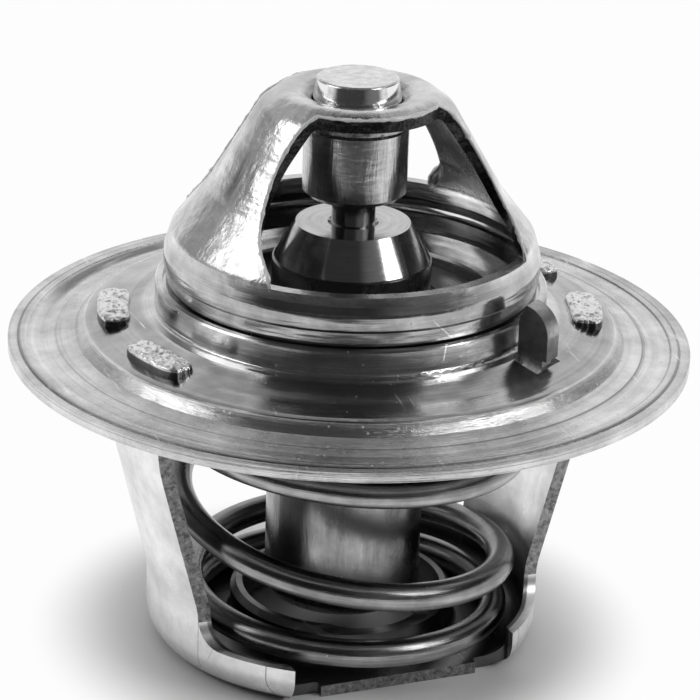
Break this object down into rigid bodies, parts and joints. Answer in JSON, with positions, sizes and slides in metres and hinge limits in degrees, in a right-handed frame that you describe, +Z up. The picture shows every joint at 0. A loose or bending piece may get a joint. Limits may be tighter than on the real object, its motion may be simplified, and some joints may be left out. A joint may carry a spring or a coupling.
{
  "type": "engine coolant thermostat",
  "caption": "Wax element coolant valve: round flange with a domed bridge above, and a return spring held in a stamped frame below, shown closed.",
  "frame": {"origin": "on the axis of the flange, in the plane of the rim's underside", "axes": "+Z up the axis towards the piston head, +X through the two legs of the frame and the bridge"},
  "size_m": [0.048, 0.048, 0.0418],
  "materials": {
    "flange_steel": "satin",
    "bridge_steel": "satin",
    "plug_steel": "turned",
    "sleeve_steel": "turned",
    "piston_steel": "ground",
    "frame_steel": "satin",
    "spring_steel": "drawn wire",
    "element_metal": "satin",
    "guide_metal": "polished",
    "wax": "waxy",
    "inner_rubber": "matte",
    "white_plastic": "matte",
    "disc_steel": "satin",
    "seal_rubber": "matte",
    "ring_steel": "satin",
    "cup_steel": "satin",
    "jiggle_metal": "matte"
  },
  "bodies": {
    "housing": {"flange_plate": "flange_steel", "upper_bridge": "bridge_steel", "set_plug": "plug_steel", "guide_sleeve": "sleeve_steel", "piston": "piston_steel", "lower_frame": "frame_steel", "main_spring": "spring_steel", "flow_medium": "wax", "rubber_piston": "inner_rubber", "anti_friction_disc": "white_plastic"},
    "valve": {"valve_disc": "disc_steel", "valve_seal": "seal_rubber", "retaining_ring": "ring_steel", "spring_cup": "cup_steel", "element_cup": "element_metal", "element_guide": "guide_metal", "wax_charge": "wax", "diaphragm": "inner_rubber"},
    "vent": {"jiggle_pin": "jiggle_metal", "jiggle_foot": "jiggle_metal"}
  },
  "joints": [
    {"name": "valve_lift", "type": "slide", "parent": "housing", "child": "valve", "axis": [0, 0, -1], "range_m": [0, 0.007], "stiffness_N_per_m": 6000, "springref_m": -0.01, "deforming": ["main_spring", "flow_medium"]},
    {"name": "vent_lift", "type": "slide", "parent": "housing", "child": "vent", "axis": [0, 0, 1], "range_m": [0, 0.0012]}
  ]
}
